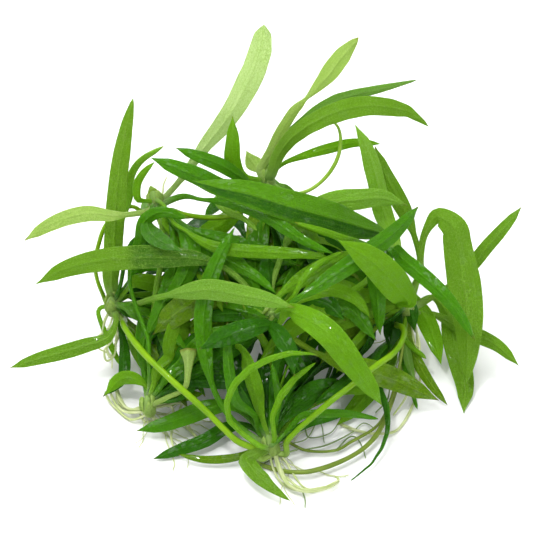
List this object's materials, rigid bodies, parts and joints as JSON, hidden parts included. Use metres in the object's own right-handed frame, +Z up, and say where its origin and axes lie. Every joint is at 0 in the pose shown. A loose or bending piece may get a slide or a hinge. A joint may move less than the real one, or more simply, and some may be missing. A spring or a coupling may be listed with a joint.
{
  "type": "helanthium bolivianum quadricostatus",
  "caption": "Tangled clump of a small aquarium sword plant: crowns with lance-shaped leaves on thin petioles, linked by arching runners and set with pale roots.",
  "frame": {"origin": "on the table, under the middle of the clump's box", "axes": "+X to the right as the clump is seen from its front, +Y away from the front, +Z up"},
  "size_m": [0.127, 0.103, 0.07],
  "materials": {
    "leaf_pale": "thin back-lit yellow-green leaf with fine parallel veins, wet gloss",
    "leaf_light": "light green leaf with fine parallel veins and a paler midrib, wet gloss",
    "leaf_mid": "mid green leaf with fine parallel veins and a paler midrib, wet gloss",
    "leaf_olive": "olive green leaf, speckled wet gloss",
    "leaf_blue": "dull bluish green leaf, softer gloss",
    "leaf_dark": "dark green leaf, wet gloss",
    "leaf_deep": "very dark green leaf, wet gloss",
    "runner": "smooth yellow-green runner, wet gloss",
    "runner_pale": "smooth pale green runner, wet gloss",
    "root": "pale cream-green fleshy root, soft sheen",
    "crown": "short pale-green crown with sheathing petiole bases and young leaves"
  },
  "bodies": {
    "root": {"leaf_tall_left": "leaf_mid", "leaf_small_upright": "leaf_light", "leaf_low_left": "leaf_mid", "leaf_under_runner": "leaf_dark", "leaf_centre_light": "leaf_light", "leaf_mid_left": "leaf_blue", "leaf_bright_top": "leaf_pale", "leaf_dark_narrow": "leaf_dark", "leaf_dark_top": "leaf_dark", "leaf_dark_top_low": "leaf_dark", "leaf_mid_top": "leaf_light", "leaf_arch_upper": "leaf_blue", "leaf_arch_lower": "leaf_mid", "leaf_big_dark": "leaf_deep", "leaf_right_long_dark": "leaf_dark", "leaf_front_right_hang": "leaf_blue", "leaf_inner_diagonal": "leaf_mid", "leaf_right_top_light": "leaf_light", "leaf_right_top": "leaf_mid", "leaf_front_broad": "leaf_mid", "leaf_right_fold": "leaf_light", "leaf_right_hang": "leaf_mid", "leaf_right_tip": "leaf_mid", "leaf_right_low": "leaf_mid", "leaf_thin_hang": "leaf_dark", "leaf_left_long": "leaf_mid", "leaf_right_mid": "leaf_light", "leaf_right_spear": "leaf_deep", "leaf_front_arc": "leaf_mid", "leaf_olive_broad": "leaf_olive", "leaf_glint_broad": "leaf_olive", "leaf_centre_up": "leaf_blue", "leaf_bottom_left": "leaf_dark", "leaf_bottom_left_low": "leaf_deep", "leaf_thin_up": "leaf_dark", "leaf_arc_light": "leaf_light", "leaf_arc_light_short": "leaf_light", "leaf_bottom_tip": "leaf_mid", "leaf_folded_over": "leaf_dark", "runner_front_left": "runner", "runner_front_right": "runner", "runner_upper": "runner", "runner_left": "runner", "runner_loop": "runner_pale", "runner_ground": "runner", "runner_middle": "runner", "root_braid_front": "root", "root_ring_right": "root", "root_low_left": "root", "root_left_curl": "root", "root_right": "root", "crown_front": "crown", "crown_left": "crown", "crown_upper_left": "crown", "crown_right": "crown", "crown_top": "crown", "crown_middle": "crown", "crown_low_left": "crown", "crown_right_inner": "crown", "crown_back": "crown"}
  },
  "joints": []
}
